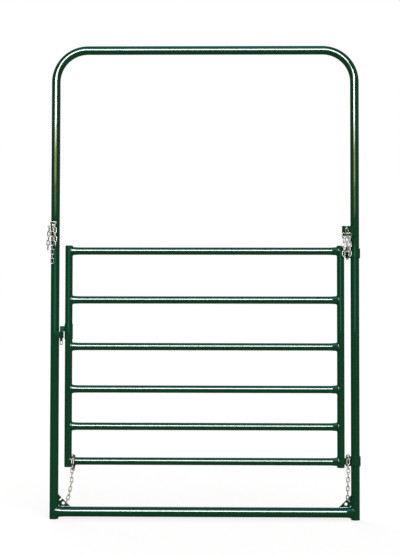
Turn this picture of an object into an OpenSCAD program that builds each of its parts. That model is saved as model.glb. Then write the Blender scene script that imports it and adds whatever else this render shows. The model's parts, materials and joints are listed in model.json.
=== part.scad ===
// Bow gate for a livestock pen: a tube frame with a high bow over the
// walkway, and a six-rail leaf hung between its posts.
// Millimetres, +Z up. The origin is the centre of the hinge post's foot face.
// The gate lies in the XZ plane, with the latch post towards -X and the
// front towards -Y.

/* [Frame] */
// Width over the two posts
frame_w = 1588; // [1200:1:2400]
// Height from the feet to the top of the bow
frame_h = 2438; // [2100:1:2900]
// Outer diameter of the frame tube
tube_d = 44.5; // [38:0.5:51]
// Wall of the frame tube
tube_wall = 2; // [1.5:0.1:3]
// Bend radius of the bow, to the centre of the tube
bow_bend_r = 165; // [120:1:260]
// Height of the joint between posts and bow
splice_z = 1507; // [1480:1:1600]
// Height of the centre of the sill
sill_z = 37; // [34:1:45]
// Outer diameter of the sill tube, which is stouter than the posts
sill_d = 50.8; // [44.5:0.1:51]

/* [Leaf] */
// Outer diameter of the leaf tube
leaf_d = 38.1; // [32:0.1:42]
// Wall of the leaf tube
leaf_wall = 1.6; // [1.2:0.1:2.5]
// Gap between latch post and leaf
latch_gap = 30; // [28:1:36]
// Gap between hinge post and leaf
hinge_gap = 32; // [31:1:36]
// Height of the leaf's bottom end
leaf_lift = 265; // [258:1:320]
// Stile left below the bottom rail's centre
stile_below = 30; // [26:1:60]
// Stile left above the top rail's centre
stile_above = 28; // [26:1:60]
// Step from rail 6, the lowest, to rail 5
rail_step_5 = 178; // [150:1:220]
// Step from rail 5 to rail 4
rail_step_4 = 191; // [160:1:230]
// Step from rail 4 to rail 3
rail_step_3 = 218; // [190:1:250]
// Step from rail 3 to rail 2
rail_step_2 = 240; // [210:1:270]
// Step from rail 2 to rail 1, the highest
rail_step_1 = 252; // [220:1:280]

/* [Hinges] */
// Height of a post strap
hinge_strap_h = 48; // [44:1:60]
// Thickness of all hinge straps
hinge_strap_t = 4.9; // [4:0.1:5]
// Thickness of a hinge lug
lug_t = 6; // [5:0.5:8]
// Half width of a hinge lug
lug_r = 11; // [10:0.5:11]
// Diameter of the hinge pins
pin_d = 12; // [10:0.5:12]
// Outer diameter of a hinge barrel
barrel_d = 18; // [17:0.5:19]
// Distance of the lower hinge's centre from the leaf's bottom end
lower_hinge_inset = 34; // [34:1:60]
// Distance of the upper hinge's centre from the leaf's top end
upper_hinge_inset = 39; // [34:1:60]

/* [Latch] */
// Height of the latch sleeve
sleeve_h = 80; // [76:1:84]
// Wall of the latch sleeve
sleeve_wall = 2; // [1.5:0.1:2.2]
// Gap between rail 3 and the sleeve, while the latch rests on the receiver
sleeve_rise = 18; // [10:1:22]
// Thickness of the latch bar
bar_t = 6; // [5:0.5:8]
// Height of the bar's arm
bar_arm_h = 28; // [24:1:32]
// Width of the bar's leg
bar_leg_w = 14; // [12:0.5:14]
// Reach of the leg below the arm
bar_leg_drop = 70; // [68:1:74]
// Height of the arm's underside above the sleeve's bottom
bar_arm_rise = 40; // [36:1:46]
// Width of the padlock hole
padlock_hole_w = 8; // [6:0.5:8]
// Length of the padlock hole
padlock_hole_h = 17; // [14:0.5:18]
// Height of the receiver strap
receiver_h = 34; // [26:1:34]
// Thickness of the receiver strap
receiver_t = 3; // [2.5:0.1:3]
// Reach of the receiver past the post's side
receiver_reach = 22.7; // [22:0.1:23]

/* [Plates and chains] */
// Legs of the triangular corner gussets
gusset_leg = 63; // [60:1:80]
// Thickness of gussets and chain plates
plate_t = 4.5; // [4:0.1:4.5]
// Width of the chain slots
slot_w = 7.5; // [7:0.1:8]
// Depth of the slot in a gusset
gusset_slot = 15; // [12:0.5:18]
// Hole in a gusset
gusset_hole_d = 16; // [12:0.5:18]
// Snipped inner corner of a gusset
gusset_snip = 12; // [8:0.5:14]
// Width of the hinge side chain plate past the post's centre
hinge_plate_w = 68; // [64:1:80]
// Height of the hinge side chain plate
hinge_plate_h = 52; // [46:1:60]
// Height of the latch side chain plate
latch_plate_h = 40; // [36:0.5:40]
// Reach of the latch side chain plate past the post's front
latch_plate_reach = 30; // [28:1:40]
// Depth of the slot in the hinge side chain plate
hinge_plate_slot = 20; // [18:1:26]
// Depth of the slot in the latch side chain plate
latch_plate_slot = 28; // [26:1:30]
// Wire of the chain
wire_d = 5; // [4:0.1:5]
// Inner length of a chain link
link_inner = 23.3; // [21:0.1:24]
// Outer width of a chain link
link_w = 18; // [17:0.1:19]

/* [Hidden] */

$fn = 64;
paint = "#1b4a2b";
zinc = "#c9ccce";
cut = 1;                       // how far a cut runs past a face
weld_gap = 0.1;                // between a piece and the round tube it is welded to
seat_gap = 0.3;                // between pieces that only lie on each other

tube_r = tube_d / 2;
leaf_r = leaf_d / 2;
latch_x = -(frame_w - tube_d);
cap_t = 3;
spigot_l = 120;
spigot_d = tube_d - 2 * tube_wall - 2 * weld_gap;
spigot_wall = 2;
screw_d = 5;
screw_head_d = 10;
screw_head_t = 4;
screw_rise = 12;

sill_r = sill_d / 2;
sill_top = sill_z + sill_r;

latch_stile_x = latch_x + tube_r + latch_gap + leaf_r;
hinge_stile_x = -(tube_r + hinge_gap + leaf_r);
rail_z6 = leaf_lift + stile_below;
rail_z5 = rail_z6 + rail_step_5;
rail_z4 = rail_z5 + rail_step_4;
rail_z3 = rail_z4 + rail_step_3;
rail_z2 = rail_z3 + rail_step_2;
rail_z1 = rail_z2 + rail_step_1;
leaf_top = rail_z1 + stile_above;
plug_t = 2;

pin_x = -(tube_r + hinge_gap / 2);
pin_fit = 0.05;                // radial clearance of the hinge pins
pin_head_d = 19;
pin_head_t = 7;
pin_tail = 9;
lower_hinge_z = leaf_lift + lower_hinge_inset;
upper_hinge_z = leaf_top - upper_hinge_inset;
strap_r = tube_r + weld_gap + hinge_strap_t;
barrel_h = hinge_strap_h - 2 * lug_t - 2 * seat_gap;
leaf_strap_h = barrel_h - 2;
leaf_strap_wrap = 4;           // angle that the strap wraps past the stile's front

sleeve_fit = 0.3;
sleeve_ir = leaf_r + sleeve_fit;
sleeve_or = sleeve_ir + sleeve_wall;
sleeve_z = rail_z3 + leaf_r + sleeve_rise;
bar_arm_z = sleeve_z + bar_arm_rise;
bar_leg_x = latch_x + tube_r + receiver_reach - receiver_t - bar_leg_w - 2;
receiver_z = bar_arm_z - seat_gap - receiver_h;
receiver_start = 2;            // where its legs end on the post, past the post's centre

link_r = (link_w - wire_d) / 2;
link_straight = link_inner + wire_d - 2 * link_r;
pitch = link_inner - seat_gap;
link_reach = link_inner + wire_d;                          // between the centres of a link's end wires
front_run_y = plate_t / 2 + seat_gap + link_w / 2;         // runs before and behind a slotted plate
back_run_y = plate_t / 2 + seat_gap + wire_d / 2;
slot_link_y = (front_run_y - back_run_y) / 2;
gusset_slot_in = 19;           // from the post's side, and from the gusset's tip, to its slot
hinge_plate_top = splice_z - 4;
latch_plate_top = splice_z + 10;
hinge_plate_y = -(tube_r + weld_gap + plate_t / 2);
hinge_plate_start = 3;         // where the hinge side plate begins, past the post's centre
hinge_slot_x = -44;
latch_plate_x = -15.65;        // middle of the latch side plate, from its post's centre
latch_slot_y = -(tube_r + 12.25);
hinge_slot_z = hinge_plate_top - hinge_plate_slot;         // the slots' bottoms
latch_slot_z = latch_plate_top - latch_plate_slot;

// A round tube along Z from z0 to z1
module tube(d, wall, z0, z1) {
    difference() {
        translate([0, 0, z0]) cylinder(d = d, h = z1 - z0);
        translate([0, 0, z0 - cut]) cylinder(d = d - 2 * wall, h = z1 - z0 + 2 * cut);
    }
}

// A round tube along X from x0 to x1, its ends coped to fit uprights of diameter d0 and d1
module coped_tube(d, wall, x0, x1, d0, d1) {
    difference() {
        translate([x0, 0, 0]) rotate([0, 90, 0]) tube(d, wall, 0, x1 - x0);
        translate([x0, 0, -d]) cylinder(d = d0 + 2 * weld_gap, h = 2 * d);
        translate([x1, 0, -d]) cylinder(d = d1 + 2 * weld_gap, h = 2 * d);
    }
}

// ---- Posts, bow and sill

module post(x) {
    color(paint) translate([x, 0, 0]) tube(tube_d, tube_wall, cap_t, splice_z);
}

module latch_post() { post(latch_x); }

module hinge_post() { post(0); }

module foot_cap(x) {
    color(paint) translate([x, 0, 0]) cylinder(d = tube_d, h = cap_t);
}

module latch_foot_cap() { foot_cap(latch_x); }

module hinge_foot_cap() { foot_cap(0); }

// The bow's solid form at one diameter: two legs, two bends and the top
module bow_form(d, past) {
    top_z = frame_h - tube_r;
    bend_z = top_z - bow_bend_r;
    for (x = [latch_x, 0])
        translate([x, 0, splice_z - past]) cylinder(d = d, h = bend_z - splice_z + past);
    translate([-bow_bend_r, 0, bend_z]) rotate([90, 0, 0])
        rotate_extrude(angle = 90) translate([bow_bend_r, 0]) circle(d = d);
    translate([latch_x + bow_bend_r, 0, bend_z]) rotate([90, -90, 0])
        rotate_extrude(angle = 90) translate([bow_bend_r, 0]) circle(d = d);
    translate([latch_x + bow_bend_r, 0, top_z]) rotate([0, 90, 0])
        cylinder(d = d, h = -latch_x - 2 * bow_bend_r);
}

module bow() {
    color(paint) difference() {
        bow_form(tube_d, 0);
        bow_form(tube_d - 2 * tube_wall, cut);
        bow_screw_holes();
    }
}

// The latch side is screwed from the front, the hinge side from behind
module at_bow_screws() {
    translate([latch_x, 0, splice_z + screw_rise]) rotate([90, 0, 0]) children();
    translate([0, 0, splice_z + screw_rise]) rotate([-90, 0, 0]) children();
}

module bow_screw_holes() {
    at_bow_screws() cylinder(d = screw_d + 2 * seat_gap, h = tube_r + cut);
}

module bow_spigots() {
    color(zinc) difference() {
        for (x = [latch_x, 0])
            translate([x, 0, 0])
                tube(spigot_d, spigot_wall, splice_z - spigot_l / 2, splice_z + spigot_l / 2);
        bow_screw_holes();
    }
}

module bow_screws() {
    shank_l = tube_wall + spigot_wall + 4;
    color(zinc) at_bow_screws() {
        translate([0, 0, tube_r + weld_gap]) cylinder(d = screw_head_d, h = screw_head_t, $fn = 6);
        translate([0, 0, tube_r + weld_gap - shank_l]) cylinder(d = screw_d, h = shank_l + cut);
    }
}

module sill() {
    color(paint) translate([0, 0, sill_z]) coped_tube(sill_d, tube_wall, latch_x, 0, tube_d, tube_d);
}

// ---- Corner gussets and chain plates

// A gusset in the corner of post and sill, drawn for a post at the origin and the gate towards -X
module gusset() {
    hole_in = 26;
    hole_up = 18;
    entry = [-gusset_slot_in, gusset_leg - gusset_slot_in];
    difference() {
        translate([-tube_r - weld_gap, plate_t / 2, sill_top + weld_gap]) rotate([90, 0, 0])
            linear_extrude(plate_t) difference() {
                polygon([
                    [2, 0], [2, gusset_leg], [0, gusset_leg],
                    [-gusset_leg, 0], [-gusset_leg, -2], [0, -2]
                ]);
                polygon([[-gusset_snip, -5], [5, gusset_snip + 5], [5, -5]]);
                translate([-hole_in, hole_up]) circle(d = gusset_hole_d);
                translate(entry) rotate(-45) {
                    translate([-cut, -slot_w / 2]) square([gusset_slot + cut, slot_w]);
                    translate([gusset_slot, 0]) circle(d = slot_w);
                }
            }
        translate([0, 0, sill_top - 10]) cylinder(r = tube_r + weld_gap, h = gusset_leg + 20);
        translate([cut, 0, sill_z]) rotate([0, -90, 0]) cylinder(r = sill_r + weld_gap, h = 2 * gusset_leg);
    }
}

module latch_corner_gusset() {
    color(paint) translate([latch_x, 0, 0]) mirror([1, 0, 0]) gusset();
}

module hinge_corner_gusset() {
    color(paint) gusset();
}

// An upright slot of this depth, open at the top, for a plate in the XZ plane. Its bottom is at
// the origin.
module plate_slot_cut(depth) {
    translate([0, plate_t, slot_w / 2]) rotate([90, 0, 0]) cylinder(d = slot_w, h = 2 * plate_t);
    translate([-slot_w / 2, -plate_t, slot_w / 2]) cube([slot_w, 2 * plate_t, depth]);
}

// On the front of the latch post, edge on to the gate
module latch_chain_plate() {
    plate_l = tube_r + latch_plate_reach;
    color(paint) translate([latch_x, 0, 0]) difference() {
        translate([latch_plate_x - plate_t / 2, -plate_l, latch_plate_top - latch_plate_h])
            cube([plate_t, plate_l, latch_plate_h]);
        translate([latch_plate_x, latch_slot_y, latch_slot_z]) rotate([0, 0, 90])
            plate_slot_cut(latch_plate_slot);
        translate([0, 0, latch_plate_top - latch_plate_h - cut])
            cylinder(r = tube_r + weld_gap, h = latch_plate_h + 2 * cut);
    }
}

// Across the front of the hinge post, reaching over the gate
module hinge_chain_plate() {
    color(paint) difference() {
        translate([-hinge_plate_w, hinge_plate_y - plate_t / 2, hinge_plate_top - hinge_plate_h])
            cube([hinge_plate_w + hinge_plate_start, plate_t, hinge_plate_h]);
        translate([hinge_slot_x, hinge_plate_y, hinge_slot_z]) plate_slot_cut(hinge_plate_slot);
    }
}

// ---- Hinges

// A strap bent three quarters round the post, with a lug at its top and bottom edge
module post_hinge(z) {
    color(paint) translate([0, 0, z - hinge_strap_h / 2]) difference() {
        union() {
            difference() {
                cylinder(r = strap_r, h = hinge_strap_h);
                // the back inner quarter stays bare, where the open leaf comes close
                translate([-strap_r - cut, lug_r, -cut])
                    cube([strap_r + cut, strap_r, hinge_strap_h + 2 * cut]);
            }
            for (lug_z = [0, hinge_strap_h - lug_t])
                translate([0, 0, lug_z]) {
                    translate([pin_x, 0, 0]) cylinder(r = lug_r, h = lug_t);
                    translate([pin_x, -lug_r, 0]) cube([-pin_x, 2 * lug_r, lug_t]);
                }
        }
        translate([0, 0, -cut]) cylinder(r = tube_r + weld_gap, h = hinge_strap_h + 2 * cut);
        translate([pin_x, 0, -cut]) cylinder(d = pin_d + 2 * pin_fit, h = hinge_strap_h + 2 * cut);
    }
}

module upper_post_hinge() { post_hinge(upper_hinge_z); }

module lower_post_hinge() { post_hinge(lower_hinge_z); }

// A headed pin, its head resting on the upper lug
module hinge_pin(z) {
    color(zinc) translate([pin_x, 0, z + hinge_strap_h / 2 + seat_gap]) {
        cylinder(d = pin_head_d, h = pin_head_t);
        translate([0, 0, -hinge_strap_h - seat_gap - pin_tail])
            cylinder(d = pin_d, h = hinge_strap_h + seat_gap + pin_tail + cut);
    }
}

module upper_hinge_pin() { hinge_pin(upper_hinge_z); }

module lower_hinge_pin() { hinge_pin(lower_hinge_z); }

// A barrel on the pin, and a strap that runs from it onto the stile's front
module leaf_hinge(z) {
    mid_r = leaf_r + weld_gap + hinge_strap_t / 2;
    barrel_mid_r = barrel_d / 2 - hinge_strap_t / 2 - 0.6;
    reach = pin_x - hinge_stile_x;
    slope = asin((mid_r - barrel_mid_r) / reach);
    lap = 1;                   // how far the flat runs into the bend
    flat_t = hinge_strap_t - 0.4;
    color(paint) translate([hinge_stile_x, 0, z]) difference() {
        union() {
            translate([reach, 0, -barrel_h / 2]) cylinder(d = barrel_d, h = barrel_h);
            translate([0, 0, -leaf_strap_h / 2]) {
                rotate([0, 0, -90 - leaf_strap_wrap]) rotate_extrude(angle = leaf_strap_wrap + slope)
                    translate([leaf_r + weld_gap, 0]) square([hinge_strap_t, leaf_strap_h]);
                rotate([0, 0, slope]) translate([-lap, -mid_r - flat_t / 2, 0])
                    cube([reach * cos(slope) + lap, flat_t, leaf_strap_h]);
            }
        }
        translate([reach, 0, -barrel_h]) cylinder(d = pin_d + 2 * pin_fit, h = 2 * barrel_h);
    }
}

module upper_leaf_hinge() { leaf_hinge(upper_hinge_z); }

module lower_leaf_hinge() { leaf_hinge(lower_hinge_z); }

// ---- Leaf

module stile(x) {
    color(paint) translate([x, 0, 0]) tube(leaf_d, leaf_wall, leaf_lift, leaf_top);
}

module latch_stile() { stile(latch_stile_x); }

module hinge_stile() { stile(hinge_stile_x); }

module stile_plugs(x) {
    color(paint) for (z = [leaf_lift, leaf_top - plug_t])
        translate([x, 0, z]) cylinder(r = leaf_r - leaf_wall - weld_gap, h = plug_t);
}

module latch_stile_plugs() { stile_plugs(latch_stile_x); }

module hinge_stile_plugs() { stile_plugs(hinge_stile_x); }

module rail(z) {
    color(paint) translate([0, 0, z])
        coped_tube(leaf_d, leaf_wall, latch_stile_x, hinge_stile_x, leaf_d, leaf_d);
}

module leaf_rail_1() { rail(rail_z1); }

module leaf_rail_2() { rail(rail_z2); }

module leaf_rail_3() { rail(rail_z3); }

module leaf_rail_4() { rail(rail_z4); }

module leaf_rail_5() { rail(rail_z5); }

module leaf_rail_6() { rail(rail_z6); }

// ---- Latch

module latch_sleeve() {
    color(paint) translate([latch_stile_x, 0, sleeve_z]) difference() {
        cylinder(r = sleeve_or, h = sleeve_h);
        translate([0, 0, -cut]) cylinder(r = sleeve_ir, h = sleeve_h + 2 * cut);
    }
}

// A flat bar: an arm out from the sleeve, and a leg that drops into the receiver
module latch_bar() {
    leg_bottom = bar_arm_z - bar_leg_drop;
    leg_mid = bar_leg_x + bar_leg_w / 2;
    hole_r = padlock_hole_w / 2;
    hole_z = leg_bottom + bar_leg_w / 2 + 1;
    color(paint) difference() {
        union() {
            translate([bar_leg_x, -bar_t / 2, bar_arm_z])
                cube([latch_stile_x - bar_leg_x, bar_t, bar_arm_h]);
            translate([bar_leg_x, -bar_t / 2, leg_bottom + bar_leg_w / 2])
                cube([bar_leg_w, bar_t, bar_leg_drop - bar_leg_w / 2]);
            translate([leg_mid, bar_t / 2, leg_bottom + bar_leg_w / 2]) rotate([90, 0, 0])
                cylinder(d = bar_leg_w, h = bar_t);
        }
        for (z = [hole_z, hole_z + padlock_hole_h - padlock_hole_w])
            translate([leg_mid, bar_t, z]) rotate([90, 0, 0]) cylinder(r = hole_r, h = 2 * bar_t);
        translate([leg_mid - hole_r, -bar_t, hole_z])
            cube([padlock_hole_w, 2 * bar_t, padlock_hole_h - padlock_hole_w]);
        translate([latch_stile_x, 0, bar_arm_z - cut])
            cylinder(r = sleeve_or + weld_gap, h = bar_arm_h + 2 * cut);
    }
}

// A strap bent round the leg of the latch bar, its ends on the post's front and back
module latch_receiver() {
    inner_r = tube_r + weld_gap;
    outer_r = inner_r + receiver_t;
    bend_x = tube_r + receiver_reach - outer_r;
    color(paint) translate([latch_x, 0, receiver_z]) difference() {
        union() {
            translate([bend_x, 0, 0]) cylinder(r = outer_r, h = receiver_h);
            translate([receiver_start, -outer_r, 0]) cube([bend_x - receiver_start, 2 * outer_r, receiver_h]);
        }
        translate([bend_x, 0, -cut]) cylinder(r = inner_r, h = receiver_h + 2 * cut);
        translate([-outer_r, -inner_r, -cut]) cube([outer_r + bend_x, 2 * inner_r, receiver_h + 2 * cut]);
        translate([-2 * outer_r, -outer_r - cut, -cut])
            cube([2 * outer_r + receiver_start, 2 * outer_r + 2 * cut, receiver_h + 2 * cut]);
    }
}

// ---- Chains

// One link in the XZ plane, its length along Z and its centre at the origin
module chain_link() {
    for (s = [1, -1]) {
        translate([0, 0, s * link_straight / 2]) rotate([s * 90, 0, 0])
            rotate_extrude(angle = 180) translate([link_r, 0]) circle(d = wire_d, $fn = 24);
        translate([s * link_r, 0, -link_straight / 2]) cylinder(d = wire_d, h = link_straight, $fn = 24);
    }
}

// A straight run of n links whose first top wire is at p, leaning by tilt about X and Y.
// The first link lies in the XZ plane, turned by spin about Z.
module chain_run(p, n, spin, tilt = [0, 0], step = pitch) {
    translate(p) rotate([tilt[0], tilt[1], 0])
        for (i = [0:n - 1])
            translate([0, 0, -link_reach / 2 - i * step]) rotate([0, 0, spin + 90 * i]) chain_link();
}

// The links on both sides of a slotted plate, drawn for a plate in the XZ plane with its
// slot's bottom at the origin: one link through the slot, and a run before and behind it.
// The front run leans away from the plate.
module slot_runs(front_n, back_n, lean = 0) {
    rest_z = wire_d / 2 + seat_gap;                        // the slot link's lower wire
    top_z = rest_z + wire_d + seat_gap;                    // the runs' top wires on it
    translate([0, -slot_link_y, rest_z + link_r]) rotate([90, 90, 0]) chain_link();
    chain_run([0, -front_run_y, top_z], front_n, 0, [-lean, 0]);
    chain_run([0, back_run_y, top_z], back_n, 0);
}

// Two chains in one slot. The second is short, and its end link lies in the slot on top of the
// first chain's, so that its run hangs before the post and leans out over the first.
module upper_latch_chain() {
    slot_link_h = link_w + seat_gap;
    end_link_y = link_reach / 2 - plate_t / 2 - wire_d / 2 - seat_gap;
    end_link_z = slot_link_h + seat_gap + link_w / 2;
    run_y = end_link_y + link_straight / 2;
    run_z = end_link_z - link_r + wire_d + seat_gap;
    color(zinc) translate([latch_x + latch_plate_x, latch_slot_y, latch_slot_z])
        rotate([0, 0, -90]) {
            slot_runs(5, 8, 3.5);
            translate([0, end_link_y, end_link_z]) rotate([90, 90, 0]) chain_link();
            chain_run([0, run_y, run_z], 5, 0, [3, -7]);
        }
}

// A run that starts flat on the plate's front at x, then leans out to the middle run
module side_run(x, top_z, n, lean) {
    chain_run([x, -back_run_y, top_z], 1, 0);
    chain_run([x, -back_run_y, top_z - pitch], n - 1, 90, [-lean, 0]);
}

module upper_hinge_chain() {
    n = 5;
    side = 15.9;               // from the middle run to each side run
    turn_dx = side - 1.4;      // the turn link's ends sit inside the runs' centre lines
    turn_dz = sqrt(pow(link_reach, 2) - pow(turn_dx, 2));
    lean_l = (n - 2) * pitch + link_reach;
    lean = asin((front_run_y - back_run_y) / lean_l);
    middle_end = wire_d + wire_d / 2 + 2 * seat_gap - (n - 1) * pitch - link_reach;
    side_top = middle_end - turn_dz + lean_l * cos(lean) + pitch;
    color(zinc) translate([hinge_slot_x, hinge_plate_y, hinge_slot_z]) {
        slot_runs(n, 1);
        side_run(side, side_top, n, lean);
        side_run(-side, side_top, n, lean);
        // the turn link joins the ends of the middle run and of the run next to the post
        translate([side / 2, -front_run_y, middle_end + wire_d + seat_gap - turn_dz / 2])
            rotate([0, -atan(turn_dx / turn_dz), 0]) rotate([0, 0, 90]) chain_link();
    }
}

// Its first link is on the upper lug of the lower hinge, and a link near its end is passed
// through the gusset's slot. The links share out what slack there is.
module lower_hinge_chain() {
    lug_z = lower_hinge_z + (hinge_strap_h - lug_t) / 2;
    start = [pin_x, -lug_r - seat_gap - link_w / 2, lug_z + link_reach / 2];
    slot_down = 4.5;                                       // along the slot to its link's centre
    slot_x = -tube_r - weld_gap - gusset_slot_in + slot_down;
    slot_z = sill_top + weld_gap + gusset_leg - gusset_slot_in - slot_down;
    slot_link = [slot_x, -1.8, slot_z];
    side = link_r * sqrt(0.5);                             // the slot link lies at 45 degrees
    end = [slot_x - side, -10.7, slot_z + side - wire_d - 3 * seat_gap];
    steps = ceil((start[2] - end[2] - link_reach) / pitch);
    step = (start[2] - end[2] - link_reach) / steps;
    hang_n = 4;
    lean_n = steps + 1 - hang_n;
    lean_l = (lean_n - 1) * step + link_reach;
    lean = [asin((end[1] - start[1]) / lean_l), asin((start[0] - end[0]) / lean_l)];
    color(zinc) {
        chain_run(start, hang_n, 90, [0, 0], step);
        chain_run(start - [0, 0, hang_n * step], lean_n, 90, lean, step);
        translate(slot_link) rotate([0, 45, 0]) rotate([90, 0, 0]) chain_link();
        chain_run(slot_link + [side, 7.2, -side + wire_d + seat_gap], 1, 0);
    }
}

// A ring of links round the lowest rail, and a tail that hangs from it and drifts to the latch
// post. Each run of the tail leans further than the last.
module lower_latch_chain() {
    ring_n = 10;
    ring_r = (link_inner - 1.2) / 2 / tan(180 / ring_n);
    ring_drop = ring_r - link_r * sqrt(0.5) - wire_d / 2 - leaf_r - seat_gap;
    ring_x = 27.7;             // from the stile's centre
    tail = [-5, -20, -26];     // where the tail hooks in, from the ring's centre
    run_n = [3, 3, 2];
    run_lean = [1, 11, 18];
    starts = [for (i = 0, p = tail; i < len(run_n);
        p = p - run_n[i] * pitch * [sin(run_lean[i]), 0, cos(run_lean[i])], i = i + 1) p];
    color(zinc) translate([latch_stile_x + ring_x, 0, rail_z6 - ring_drop]) {
        for (k = [0:ring_n - 1])
            rotate([360 * k / ring_n, 0, 0]) translate([0, 0, ring_r])
                rotate([90, 0, 0]) rotate([0, 0, k % 2 == 0 ? -45 : 45]) chain_link();
        for (i = [0:len(run_n) - 1])
            chain_run(starts[i], run_n[i], 90 * i, [0, run_lean[i]]);
    }
}

latch_post();
hinge_post();
latch_foot_cap();
hinge_foot_cap();
bow();
bow_spigots();
bow_screws();
sill();
latch_corner_gusset();
hinge_corner_gusset();
latch_chain_plate();
hinge_chain_plate();
upper_post_hinge();
lower_post_hinge();
upper_hinge_pin();
lower_hinge_pin();
latch_receiver();
upper_latch_chain();
upper_hinge_chain();
lower_hinge_chain();
latch_stile();
hinge_stile();
latch_stile_plugs();
hinge_stile_plugs();
leaf_rail_1();
leaf_rail_2();
leaf_rail_3();
leaf_rail_4();
leaf_rail_5();
leaf_rail_6();
upper_leaf_hinge();
lower_leaf_hinge();
lower_latch_chain();
latch_sleeve();
latch_bar();
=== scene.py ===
"""A bow gate for a livestock pen, in dark green powder coat and bright zinc.

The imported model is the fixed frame. Posts, bow and sill stand still, the six-rail leaf
swings between the posts, and the drop latch slides on the leaf.
"""

import json
import math

import bmesh
import bpy
from mathutils import Matrix, Vector

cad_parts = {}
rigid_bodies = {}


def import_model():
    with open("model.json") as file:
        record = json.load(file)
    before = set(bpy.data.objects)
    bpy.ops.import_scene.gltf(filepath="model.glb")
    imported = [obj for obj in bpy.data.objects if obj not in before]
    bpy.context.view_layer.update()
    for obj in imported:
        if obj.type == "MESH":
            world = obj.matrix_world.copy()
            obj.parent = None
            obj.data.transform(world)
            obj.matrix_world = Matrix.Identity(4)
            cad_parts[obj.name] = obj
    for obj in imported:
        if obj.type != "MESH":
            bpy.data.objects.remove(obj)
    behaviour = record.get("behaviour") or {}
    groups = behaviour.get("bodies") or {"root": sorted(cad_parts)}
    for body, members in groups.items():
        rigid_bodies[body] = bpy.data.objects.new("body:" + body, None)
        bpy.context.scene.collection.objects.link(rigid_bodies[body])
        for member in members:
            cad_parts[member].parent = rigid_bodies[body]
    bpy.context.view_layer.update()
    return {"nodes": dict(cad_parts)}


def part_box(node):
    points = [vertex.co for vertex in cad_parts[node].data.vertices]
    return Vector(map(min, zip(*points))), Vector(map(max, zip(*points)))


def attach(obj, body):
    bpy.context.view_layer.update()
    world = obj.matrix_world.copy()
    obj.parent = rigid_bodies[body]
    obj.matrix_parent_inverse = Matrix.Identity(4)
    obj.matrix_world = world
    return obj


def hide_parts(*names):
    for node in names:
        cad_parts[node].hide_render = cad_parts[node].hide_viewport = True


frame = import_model()
scene = bpy.context.scene


# ---- Camera
# The gate is seen almost straight on, from about a metre above the ground, with the camera
# tilted up by two degrees so that the bow and the feet are both in the picture.
gate_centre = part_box("sill")[0].lerp(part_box("sill")[1], 0.5)
aside, distance, eye_height = 0.083, 6.483, 1.011       # metres
tilt_up, roll, pan = 0.035, -0.0017, 0.0165             # radians
camera_data = bpy.data.cameras.new("camera")
camera_data.lens = 81.7
camera_data.sensor_width = 36
camera = bpy.data.objects.new("camera", camera_data)
camera.location = (gate_centre.x + aside, -distance, eye_height)
camera.rotation_euler = (math.pi / 2 + tilt_up, roll, pan)
scene.collection.objects.link(camera)
scene.camera = camera


# ---- Posts
# Two lengths of 44.5 mm steel tube stand on the ground, with a cap welded into each foot.
# The sawn ends are dressed with a file before coating, and the powder rounds them a little
# more, so each catches a line of light.
def srgb(code):
    """The linear colour of an sRGB hex code."""
    channels = [int(code[i:i + 2], 16) / 255 for i in (1, 3, 5)]
    return [c / 12.92 if c <= 0.04045 else ((c + 0.055) / 1.055) ** 2.4 for c in channels] + [1]


def add_node(tree, kind, inputs=(), **settings):
    """Adds a node with its settings. Inputs map a socket to a value or to an output."""
    node = tree.nodes.new(kind)
    for name, value in settings.items():
        setattr(node, name, value)
    for name, value in dict(inputs).items():
        if isinstance(value, bpy.types.NodeSocket):
            tree.links.new(value, node.inputs[name])
        else:
            node.inputs[name].default_value = value
    return node


# Polyester powder coat is sprayed on dry and baked. It flows into a smooth skin with a faint
# orange peel, so it mirrors its surroundings crisply. The gate is new, and only hazed a
# little by handling.
powder_coat = bpy.data.materials.new("green_polyester_powder_coat")
powder_coat.use_nodes = True
tree = powder_coat.node_tree
shader = tree.nodes["Principled BSDF"]
shader.inputs["IOR"].default_value = 1.5
place = add_node(tree, "ShaderNodeTexCoord").outputs["Object"]

# the colour drifts a little over a hand's width
hand_width = 0.09
drift = add_node(tree, "ShaderNodeTexNoise", {
    "Vector": place, "Scale": 1 / hand_width, "Detail": 2})
green = add_node(tree, "ShaderNodeMix", {
    "Factor": drift.outputs["Fac"], "A": srgb("#0a3120"), "B": srgb("#10391c")},
    data_type="RGBA")
tree.links.new(green.outputs["Result"], shader.inputs["Base Color"])

# handling haze: the gloss varies in patches as wide as two fingers
haze_width = 0.03
haze = add_node(tree, "ShaderNodeTexNoise", {
    "Vector": place, "Scale": 1 / haze_width, "Detail": 4})
gloss = add_node(tree, "ShaderNodeMapRange", {
    "Value": haze.outputs["Fac"], "From Min": 0.3, "From Max": 0.7,
    "To Min": 0.03, "To Max": 0.06})
tree.links.new(gloss.outputs["Result"], shader.inputs["Roughness"])

# orange peel: waves about 5 mm long and a few microns high
peel_length, peel_height = 0.005, 0.00003
peel = add_node(tree, "ShaderNodeTexNoise", {
    "Vector": place, "Scale": 1 / peel_length, "Detail": 1})
bump = add_node(tree, "ShaderNodeBump", {
    "Height": peel.outputs["Fac"], "Strength": 0.06, "Distance": peel_height})
tree.links.new(bump.outputs["Normal"], shader.inputs["Normal"])


def finished(mesh, name, crease=40):
    """The coated object made from a mesh, smooth but for edges past the crease angle."""
    data = bpy.data.meshes.new(name)
    mesh.to_mesh(data)
    mesh.free()
    data.materials.append(powder_coat)
    data.shade_smooth()
    data.set_sharp_from_angle(angle=math.radians(crease))
    piece = bpy.data.objects.new(name, data)
    scene.collection.objects.link(piece)
    return piece


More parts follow.
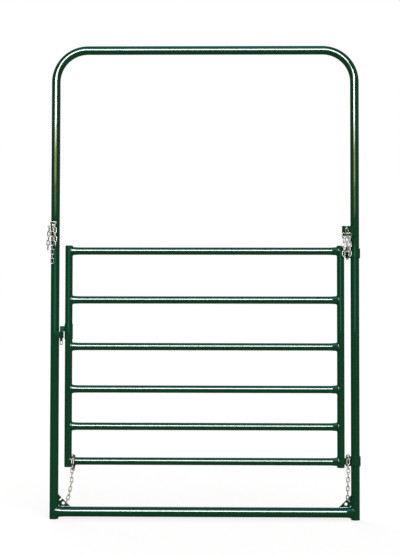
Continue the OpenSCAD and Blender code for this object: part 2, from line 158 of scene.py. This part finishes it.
def dress(node, body, edge=0.0014):
    """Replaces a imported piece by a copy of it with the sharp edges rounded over."""
    same_point, same_plane, sharp_angle = 1e-5, math.radians(0.5), math.radians(35)
    mesh = bmesh.new()
    mesh.from_mesh(frame["nodes"][node].data)
    bmesh.ops.remove_doubles(mesh, verts=mesh.verts, dist=same_point)
    bmesh.ops.dissolve_limit(mesh, angle_limit=same_plane, verts=mesh.verts, edges=mesh.edges)
    sharp = [e for e in mesh.edges if e.is_manifold and e.calc_face_angle() > sharp_angle]
    bmesh.ops.bevel(mesh, geom=sharp, offset=edge, offset_type="OFFSET", segments=2,
                    profile=0.5, affect="EDGES", clamp_overlap=True, material=-1)
    piece = finished(mesh, "dressed_" + node, crease=20)
    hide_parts(node)
    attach(piece, body)


def finish_as_packed(node, material):
    """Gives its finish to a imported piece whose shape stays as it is."""
    materials = frame["nodes"][node].data.materials
    materials.clear()
    materials.append(material)


posts = ("latch_post", "hinge_post")
tube_edge = 0.0008
for post in posts:
    dress(post, "frame", tube_edge)
for cap in ("latch_foot_cap", "hinge_foot_cap"):
    finish_as_packed(cap, powder_coat)


# ---- Bow
# One length of the post tube, bent cold to a tall U, stands on the posts. A short spigot
# inside each joint lines it up, and one hex screw on each side holds it. Both are zinc plated.
dress("bow", "frame", tube_edge)

# Bright zinc is electroplated on steel wire and bar, then cleared. It is shiny where links
# rub. The clear film is cloudy and warm grey in patches, which scatters light like a thin
# white bloom, so the metal is less than fully metallic. The colour goes from a darker to a
# lighter grey in random patches about 8 mm wide, and the darker grey is partly painted shade,
# standing in for the shade between the links.
zinc_plate = bpy.data.materials.new("bright_zinc_plate")
zinc_plate.use_nodes = True
tree = zinc_plate.node_tree
shader = tree.nodes["Principled BSDF"]
shader.inputs["Metallic"].default_value = 0.8
place = add_node(tree, "ShaderNodeTexCoord").outputs["Object"]
cloud_and_shade_width = 0.008
cloud_and_shade = add_node(tree, "ShaderNodeTexNoise", {
    "Vector": place, "Scale": 1 / cloud_and_shade_width, "Detail": 3})
# the same noise sets the colour: its darker grey is partly painted shade between the links
metal = add_node(tree, "ShaderNodeMix", {
    "Factor": cloud_and_shade.outputs["Fac"], "A": srgb("#85827e"), "B": srgb("#cbccca")},
    data_type="RGBA")
tree.links.new(metal.outputs["Result"], shader.inputs["Base Color"])
shine = add_node(tree, "ShaderNodeMapRange", {
    "Value": cloud_and_shade.outputs["Fac"], "From Min": 0.3, "From Max": 0.7,
    "To Min": 0.12, "To Max": 0.26})
tree.links.new(shine.outputs["Result"], shader.inputs["Roughness"])

finish_as_packed("bow_spigots", zinc_plate)
finish_as_packed("bow_screws", zinc_plate)


# ---- Sill
# A stouter tube, 50.8 mm, lies between the feet. Its ends are pressed a little flat from
# front to back, which makes them taller, then coped to the posts and welded all round.
def upright_at(node):
    """The X of an upright's axis, and its radius."""
    low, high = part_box(node)
    return low.lerp(high, 0.5).x, (high.x - low.x) / 2


def bar_at(node):
    """The centre of a crossbar, and its radius."""
    low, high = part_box(node)
    return (low + high) / 2, (high.z - low.z) / 2


def grow(mesh, rim):
    """Extrudes an open rim, and returns the new rim's points and its edges."""
    grown = bmesh.ops.extrude_edge_only(mesh, edges=rim)["geom"]
    verts = [g for g in grown if isinstance(g, bmesh.types.BMVert)]
    new = set(verts)
    return verts, [g for g in grown if isinstance(g, bmesh.types.BMEdge)
                   and all(v in new for v in g.verts)]


def close(mesh):
    """Caps the open ends of a mesh and turns its faces outwards."""
    bmesh.ops.holes_fill(mesh, edges=mesh.edges)
    bmesh.ops.recalc_face_normals(mesh, faces=mesh.faces)


# where a tube is pressed, its depth shrinks this many times as much as its height grows
narrowing = 1.25


def crossbar(name, node, uprights, squeeze):
    """A round tube between two uprights, its ends pressed and coped to them."""
    sides, press_length, press_rings, cope_gap, same_point = 64, 0.06, 8, 0.0001, 1e-6
    centre, radius = bar_at(node)
    (left, upright_r), (right, _) = [upright_at(upright) for upright in uprights]
    mesh = bmesh.new()
    bmesh.ops.create_circle(mesh, segments=sides, radius=radius,
                            matrix=Matrix.Translation((left, centre.y, centre.z))
                            @ Matrix.Rotation(math.pi / 2, 4, "Y"))
    pressed_steps = [press_length / press_rings] * press_rings
    rim = mesh.edges[:]
    for step in pressed_steps + [right - left - 2 * press_length] + pressed_steps:
        verts, rim = grow(mesh, rim)
        bmesh.ops.translate(mesh, verts=verts, vec=(step, 0, 0))

    # the press squeezes each end more and more towards its rim
    for v in mesh.verts:
        from_end = min(v.co.x - left, right - v.co.x)
        t = min(max(1 - from_end / press_length, 0), 1)
        pressed = squeeze * t * t * (3 - 2 * t)
        v.co.z = centre.z + (v.co.z - centre.z) * (1 + pressed)
        v.co.y = centre.y + (v.co.y - centre.y) * (1 - narrowing * pressed)

    # the cope follows the side of the upright
    for v in mesh.verts:
        depth = math.sqrt(upright_r ** 2 - min(v.co.y ** 2, upright_r ** 2)) + cope_gap
        if v.co.x < (left + right) / 2:
            v.co.x = max(v.co.x, left + depth)
        else:
            v.co.x = min(v.co.x, right - depth)

    bmesh.ops.remove_doubles(mesh, verts=mesh.verts, dist=same_point)
    close(mesh)
    piece = finished(mesh, name)
    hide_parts(node)
    return piece


# Everything is joined by MIG welding before it is coated: a bead about 5 mm wide, rippled
# every 4 mm, runs round each tube end and along the plates.
weld_step = 0.0012


def bead(welds, points, width=0.005):
    """Adds a weld bead that runs along the points, its ends tapered, to the mesh of welds."""
    sides, ripple_length, ripple_height, taper = 8, 0.004, 0.14, 0.45
    mesh = bmesh.new()
    verts = bmesh.ops.create_circle(mesh, segments=sides, radius=1)["verts"]
    rim = mesh.edges[:]
    heading, size, at, travelled = Vector((0, 0, 1)), 1.0, Vector(), 0.0
    last = len(points) - 1
    for k, point in enumerate(points):
        if k:
            verts, rim = grow(mesh, rim)
            travelled += (point - at).length
        ahead = (points[min(k + 1, last)] - points[max(k - 1, 0)]).normalized()
        ripple = 1 + ripple_height * math.sin(2 * math.pi * travelled / ripple_length)
        wanted = width / 2 * ripple * (taper if k in (0, last) else 1)
        bmesh.ops.translate(mesh, verts=verts, vec=point - at)
        bmesh.ops.rotate(mesh, verts=verts, cent=point,
                         matrix=heading.rotation_difference(ahead).to_matrix())
        bmesh.ops.scale(mesh, verts=verts, vec=[wanted / size] * 3,
                        space=Matrix.Translation(-point))
        heading, size, at = ahead, wanted, point
    close(mesh)
    data = bpy.data.meshes.new("bead")
    mesh.to_mesh(data)
    mesh.free()
    welds.from_mesh(data)
    bpy.data.meshes.remove(data)


def weld_ends(welds, node, uprights, squeeze):
    """Adds a bead round each end of a crossbar. Each laps its own start."""
    lap = 5
    centre, radius = bar_at(node)
    upright_r = upright_at(uprights[0])[1]
    for upright, side in zip(uprights, (1, -1)):
        x = upright_at(upright)[0]
        points = []
        for k in range(round(2 * math.pi * radius / weld_step) + lap):
            turn = k * weld_step / radius
            y = radius * (1 - narrowing * squeeze) * math.sin(turn)
            points.append(Vector((x + side * math.sqrt(upright_r ** 2 - y ** 2), y,
                                  centre.z + radius * (1 + squeeze) * math.cos(turn))))
        bead(welds, points)


sill_squeeze = 0.13
sill = crossbar("sill_tube", "sill", posts, sill_squeeze)
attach(sill, "frame")
sill_welds = bmesh.new()
weld_ends(sill_welds, "sill", posts, sill_squeeze)
piece = finished(sill_welds, "sill_welds")
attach(piece, "frame")


# ---- Corner gussets
# A triangle of 4.5 mm plate with a slot and a hole for a chain fills each bottom corner, its
# inner corner snipped off. It is welded on both faces, down the post and along the top of
# the sill, which rises towards the post where it is pressed.
def line(start, end):
    """Points from start to end, about a third of a ripple apart."""
    start, end = Vector(start), Vector(end)
    count = max(round((end - start).length / weld_step), 2)
    return [start.lerp(end, k / count) for k in range(count + 1)]


plate_welds = bmesh.new()
post_r = upright_at("hinge_post")[1]
snip, corner_margin, proud = 0.014, 0.004, 0.0007
rise_at_post, rise_at_tip = 0.0016, 0.0004
for gusset, post, side in (("latch_corner_gusset", "latch_post", 1),
                           ("hinge_corner_gusset", "hinge_post", -1)):
    dress(gusset, "frame")
    axis = upright_at(post)[0]
    low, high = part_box(gusset)
    against_post = axis + side * post_r
    past_snip = axis + side * (post_r + snip)
    tip = axis + side * (post_r + high.x - low.x - corner_margin)
    for y in (low.y - proud, high.y + proud):
        bead(plate_welds, line((against_post, y, low.z + snip),
                               (against_post, y, high.z - corner_margin)))
        bead(plate_welds, line((past_snip, y, low.z + rise_at_post),
                               (tip, y, low.z + rise_at_tip)))


# ---- Chain plates
# A plate with a slot open at the top holds the chains high on each post. One lies across the
# hinge post's front, reaches over the gate and is welded along its outer end. One stands edge
# on out of the latch post's front and is welded on both sides, up to the bow's joint.
dress("hinge_chain_plate", "frame")
dress("latch_chain_plate", "frame")
end_margin, off_face = 0.003, 0.0002
low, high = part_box("hinge_chain_plate")
back = high.y + off_face
bead(plate_welds, line((high.x, back, low.z + end_margin), (high.x, back, high.z - end_margin)))
low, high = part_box("latch_chain_plate")
latch_x = upright_at("latch_post")[0]
splice_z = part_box("latch_post")[1].z
for x in (low.x, high.x):
    y = -math.sqrt(post_r ** 2 - (x - latch_x) ** 2)
    bead(plate_welds, line((x, y, low.z + end_margin), (x, y, splice_z - corner_margin)))


# ---- Latch receiver
# A strap of flat bar is bent to a U round the place where the latch's leg drops. Its two ends
# are welded to the front and back of the latch post.
dress("latch_receiver", "frame")
low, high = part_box("latch_receiver")
half_bar = 0.0022
for y in (low.y + half_bar, high.y - half_bar):
    bead(plate_welds, line((low.x, y, low.z + end_margin), (low.x, y, high.z - end_margin)))


# ---- Post hinges and pins
# A strap of flat bar, bent three quarters round the hinge post, has a lug at its top and its
# bottom edge. It is welded above and below, round the outer half of the post. A headed pin of
# zinc-plated bar drops through both lugs.
hinge_x = upright_at("hinge_post")[0]
weld_r, half_arc, arc_steps = post_r + 0.001, math.radians(75), 50
arc = [half_arc * (2 * k / arc_steps - 1) for k in range(arc_steps + 1)]
for strap, pin in (("upper_post_hinge", "upper_hinge_pin"),
                   ("lower_post_hinge", "lower_hinge_pin")):
    dress(strap, "frame")
    finish_as_packed(pin, zinc_plate)
    for z in (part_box(strap)[0].z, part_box(strap)[1].z):
        bead(plate_welds, [Vector((hinge_x + weld_r * math.cos(a), weld_r * math.sin(a), z))
                           for a in arc], width=0.004)
piece = finished(plate_welds, "plate_welds")
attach(piece, "frame")


# ---- Stiles
# The two uprights of the leaf are 38.1 mm steel tube. A plug is pressed into each sawn end,
# and the ends are dressed like those of the posts.
stiles = ("latch_stile", "hinge_stile")
for stile in stiles:
    dress(stile, "leaf", tube_edge)
    finish_as_packed(stile + "_plugs", powder_coat)


# ---- Rails
# Six lengths of the stile tube, closer together towards the ground. Their ends are pressed,
# coped and welded like the sill's, and a little flatter.
rail_squeeze = 0.16
leaf_welds = bmesh.new()
for number in range(1, 7):
    node = f"leaf_rail_{number}"
    rail = crossbar(f"rail_tube_{number}", node, stiles, rail_squeeze)
    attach(rail, "leaf")
    weld_ends(leaf_welds, node, stiles, rail_squeeze)
piece = finished(leaf_welds, "leaf_welds")
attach(piece, "leaf")


# ---- Leaf hinges
# A strap of flat bar, bent round the front of the hinge stile, carries a short barrel, which
# turns on the pin between the two lugs of the post hinge.
dress("upper_leaf_hinge", "leaf")
dress("lower_leaf_hinge", "leaf")


# ---- Drop latch
# A short tube sleeve slides on the latch stile. The arm of a flat bar, welded to it, reaches
# over the receiver, and the bar's leg drops into it, with a hole for a padlock.
dress("latch_sleeve", "latch", tube_edge)
dress("latch_bar", "latch")


# ---- Chains
# Welded links of 5 mm wire, zinc plated. The upper chains hang in the slots of their plates.
# One lower chain hangs from the lower hinge and one from a ring of links round the lowest
# rail, and each ends in the slot of its gusset.
for chain in ("upper_latch_chain", "upper_hinge_chain", "lower_hinge_chain",
              "lower_latch_chain"):
    finish_as_packed(chain, zinc_plate)


# ---- Studio light
# Two soft suns and a pale dome light the gate evenly. Wide panels in front, which only gloss
# can see, draw the long highlights on the tubes: white, with tan below and blue above.
def sun(name, towards, strength, spread=40):
    """A sun as soft as a large studio lamp, which gloss doesn't mirror."""
    lamp = bpy.data.lights.new(name, "SUN")
    lamp.energy = strength
    lamp.angle = math.radians(spread)
    holder = bpy.data.objects.new(name, lamp)
    holder.rotation_euler = Vector(towards).to_track_quat("-Z", "Y").to_euler()
    holder.visible_glossy = False
    scene.collection.objects.link(holder)


def panel(name, low, high, radiance, colour, lit, centre_x=-1.2, width=6.0, y=-8.0):
    """An upright panel from height low to high, which only the gloss of the lit pieces sees."""
    lamp = bpy.data.lights.new(name, "AREA")
    lamp.shape = "RECTANGLE"
    lamp.size, lamp.size_y = width, high - low
    lamp.energy = radiance * math.pi * width * (high - low)
    lamp.color = srgb(colour)[:3]
    holder = bpy.data.objects.new(name, lamp)
    holder.location = (centre_x, y, (low + high) / 2)
    holder.rotation_euler = (math.pi / 2 if y < 0 else -math.pi / 2, 0, 0)
    holder.visible_camera = False
    holder.visible_diffuse = False
    holder.light_linking.receiver_collection = lit
    scene.collection.objects.link(holder)


sun("key_sun", (-0.2, 0.8, -0.56), strength=2.4)
sun("rear_sun", (0.3, -0.8, -0.6), strength=1.2)
painted = bpy.data.collections.new("painted_pieces")
plated = bpy.data.collections.new("plated_pieces")
for piece in scene.objects:
    if piece.type == "MESH":
        (plated if piece.active_material == zinc_plate else painted).objects.link(piece)

# the paint mirrors a white band, warmer and dimmer ones under it, and blue ones overhead
panel("white_panel", 3.3, 6.2, 45, "#ffffff", painted)
panel("cream_panel", 3.05, 3.3, 18, "#fffbe0", painted)
panel("tan_panel", 2.6, 3.05, 7, "#fff09a", painted)
panel("brown_panel", 2.25, 2.6, 2.4, "#ffe684", painted)
panel("teal_panel", 0.9, 1.9, 1.3, "#66ffd8", painted)
panel("high_blue_panel", 6.9, 24.0, 2.6, "#5ce4ff", painted, width=9.0)
panel("rear_panel", 4.5, 9.0, 1.6, "#b8e4ff", painted, width=10.0, y=8.0)

# the zinc mirrors dimmer panels of its own, because it would bleach under those of the paint
panel("chain_panel", 2.6, 9.0, 11, "#fffaf2", plated)
panel("low_chain_panel", -0.1, 0.9, 2.6, "#f0e0cc", plated, width=4.0, y=-1.2)

# the dome is white to the camera, pale for soft light, and a dim blue to gloss, which keeps
# the edges of the tubes dark
dome_light, mirrored_dome = 0.4, 0.1
world = bpy.data.worlds.new("studio")
scene.world = world
world.use_nodes = True
tree = world.node_tree
backdrop = tree.nodes["Background"]
ray = add_node(tree, "ShaderNodeLightPath")
seen = add_node(tree, "ShaderNodeMath", {
    0: ray.outputs["Is Camera Ray"], 1: ray.outputs["Is Transmission Ray"]},
    operation="MAXIMUM")
unseen = add_node(tree, "ShaderNodeMix", {
    "Factor": ray.outputs["Is Glossy Ray"], "A": dome_light, "B": mirrored_dome})
level = add_node(tree, "ShaderNodeMath", {
    0: seen.outputs[0], 1: unseen.outputs["Result"]}, operation="MAXIMUM")
tint = add_node(tree, "ShaderNodeMix", {
    "Factor": ray.outputs["Is Glossy Ray"], "A": srgb("#ffffff"), "B": srgb("#b4d8ee")},
    data_type="RGBA")
tree.links.new(tint.outputs["Result"], backdrop.inputs["Color"])
tree.links.new(level.outputs[0], backdrop.inputs["Strength"])


# ---- Floor
# Plain white paper lies under the feet. It shines of itself towards the camera, so that it
# joins the white backdrop, and still takes the gate's soft shadow.
half_width, camera_glow, glow_share = 60, 1.04, 0.7
floor_mesh = bmesh.new()
bmesh.ops.create_grid(floor_mesh, x_segments=1, y_segments=1, size=half_width)
floor_data = bpy.data.meshes.new("floor")
floor_mesh.to_mesh(floor_data)
floor_mesh.free()
floor = bpy.data.objects.new("floor", floor_data)
floor.visible_glossy = False
scene.collection.objects.link(floor)
pale = bpy.data.materials.new("pale_floor_paper")
pale.use_nodes = True
tree = pale.node_tree
shader = tree.nodes["Principled BSDF"]
shader.inputs["Base Color"].default_value = srgb("#f4f4f2")
shader.inputs["Roughness"].default_value = 0.9
shader.inputs["Specular IOR Level"].default_value = 0
glow = add_node(tree, "ShaderNodeEmission", {"Color": srgb("#ffffff"), "Strength": camera_glow})
share = add_node(tree, "ShaderNodeMath", {
    0: add_node(tree, "ShaderNodeLightPath").outputs["Is Camera Ray"], 1: glow_share},
    operation="MULTIPLY")
both = add_node(tree, "ShaderNodeMixShader", {
    0: share.outputs[0], 1: shader.outputs[0], 2: glow.outputs[0]})
tree.links.new(both.outputs[0], tree.nodes["Material Output"].inputs["Surface"])
floor_data.materials.append(pale)

scene.view_settings.view_transform = "Standard"
